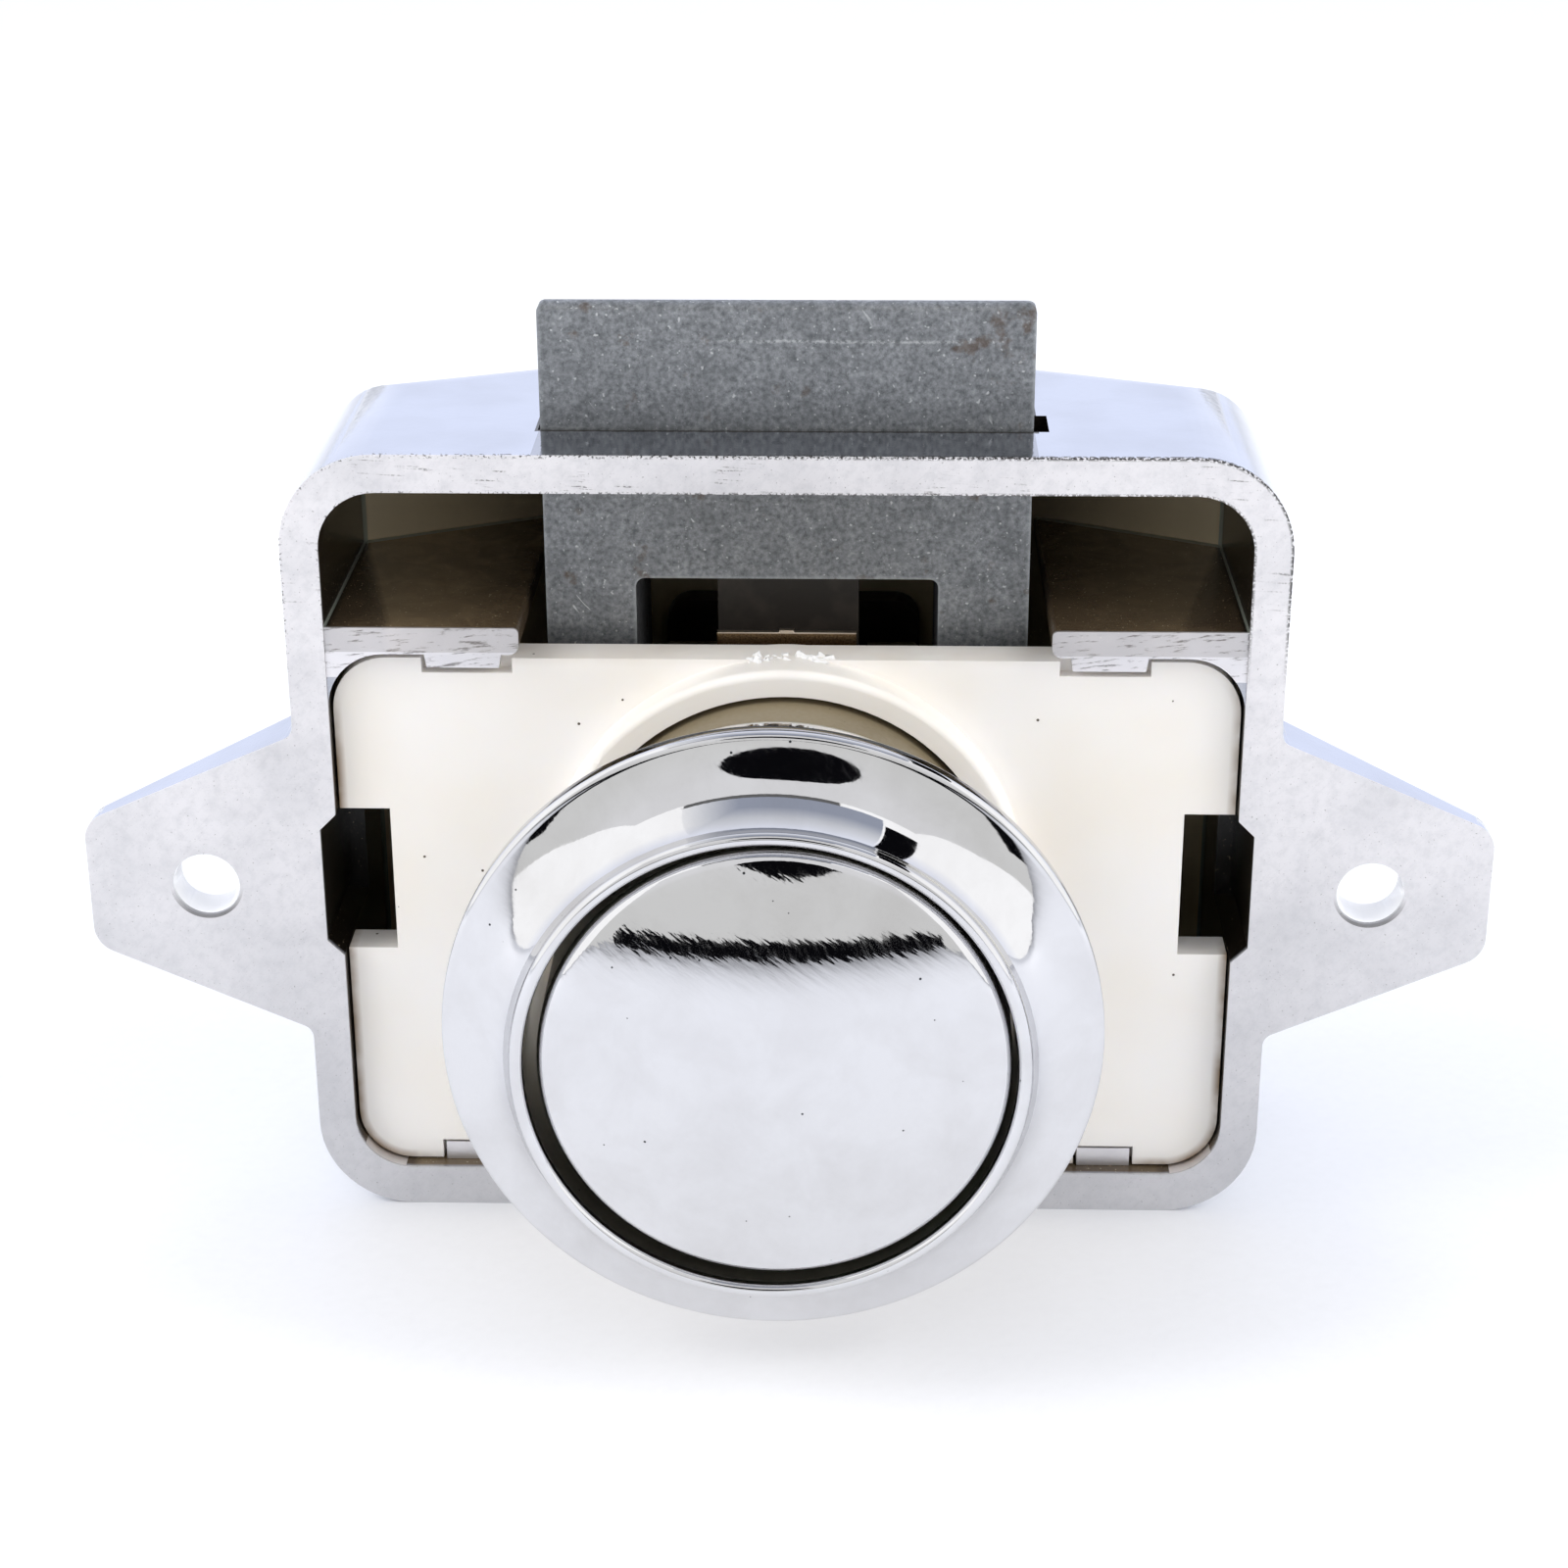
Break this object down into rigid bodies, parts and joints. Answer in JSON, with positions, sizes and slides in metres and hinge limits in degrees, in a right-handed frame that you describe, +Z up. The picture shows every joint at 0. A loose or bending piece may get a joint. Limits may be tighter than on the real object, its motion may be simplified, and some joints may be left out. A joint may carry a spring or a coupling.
{
  "type": "push button cabinet lock",
  "caption": "Push button cabinet lock: plated housing with screw ears, sprung latch bolt at the top, ivory cover plate, and a chrome knob inside a round rosette.",
  "frame": {"origin": "where the knob's axis meets the mounting plane, which is the plane of the open rim and of the two ears; it is midway between the ear screw holes", "axes": "+X to the right seen from the knob, +Y from the knob into the cabinet, +Z up towards the latch bolt"},
  "size_m": [0.077, 0.0454, 0.0517],
  "materials": {
    "plated_zinc": "bright nickel plated zinc die casting",
    "ivory_abs": "smooth ivory plastic",
    "tumbled_zinc": "tumbled zinc die casting",
    "chrome_plate": "mirror chrome",
    "spring_steel": "drawn spring wire",
    "leaf_steel": "blued spring strip",
    "ground_steel": "ground steel pin",
    "screw_steel": "zinc plated steel",
    "dark_acetal": "dark acetal moulding",
    "rivet_metal": "aluminium rivet"
  },
  "bodies": {
    "case": {"housing": "plated_zinc", "cover_plate": "ivory_abs", "cradle": "dark_acetal", "cradle_screw_upper": "screw_steel", "cradle_screw_lower": "screw_steel", "leaf_spring": "leaf_steel", "leaf_rivet_left": "rivet_metal", "leaf_rivet_right": "rivet_metal", "guide_pin_left": "ground_steel", "guide_pin_right": "ground_steel", "bolt_spring_left": "spring_steel", "bolt_spring_right": "spring_steel", "return_spring": "spring_steel"},
    "bolt": {"latch_bolt": "tumbled_zinc"},
    "button": {"plunger": "ivory_abs", "knob_cap": "chrome_plate", "knob_screw": "screw_steel", "knob_washer": "screw_steel", "cam_pin_left": "ground_steel", "cam_pin_right": "ground_steel"},
    "follower": {"follower_wire": "spring_steel"},
    "rosette": {"rosette": "chrome_plate"}
  },
  "joints": [
    {"name": "button_slide", "type": "slide", "parent": "case", "child": "button", "axis": [0, -1, 0], "range_m": [0, 0.0075], "deforming": ["return_spring"]},
    {"name": "bolt_slide", "type": "slide", "parent": "case", "child": "bolt", "axis": [0, 0, -1], "range_m": [0, 0.007], "deforming": ["bolt_spring_left", "bolt_spring_right"]},
    {"name": "follower_swing", "type": "hinge", "parent": "case", "child": "follower", "pos_m": [0, 0.0169, 0.00695], "axis": [0, 0, 1], "range_deg": [-19.96, 0]},
    {"name": "rosette_slide", "type": "slide", "parent": "case", "child": "rosette", "axis": [0, 1, 0], "range_m": [0, 0.0046]}
  ],
  "couplings": [
    {"joint": "bolt_slide", "follows": "button_slide", "ratio": 0.93333}
  ]
}
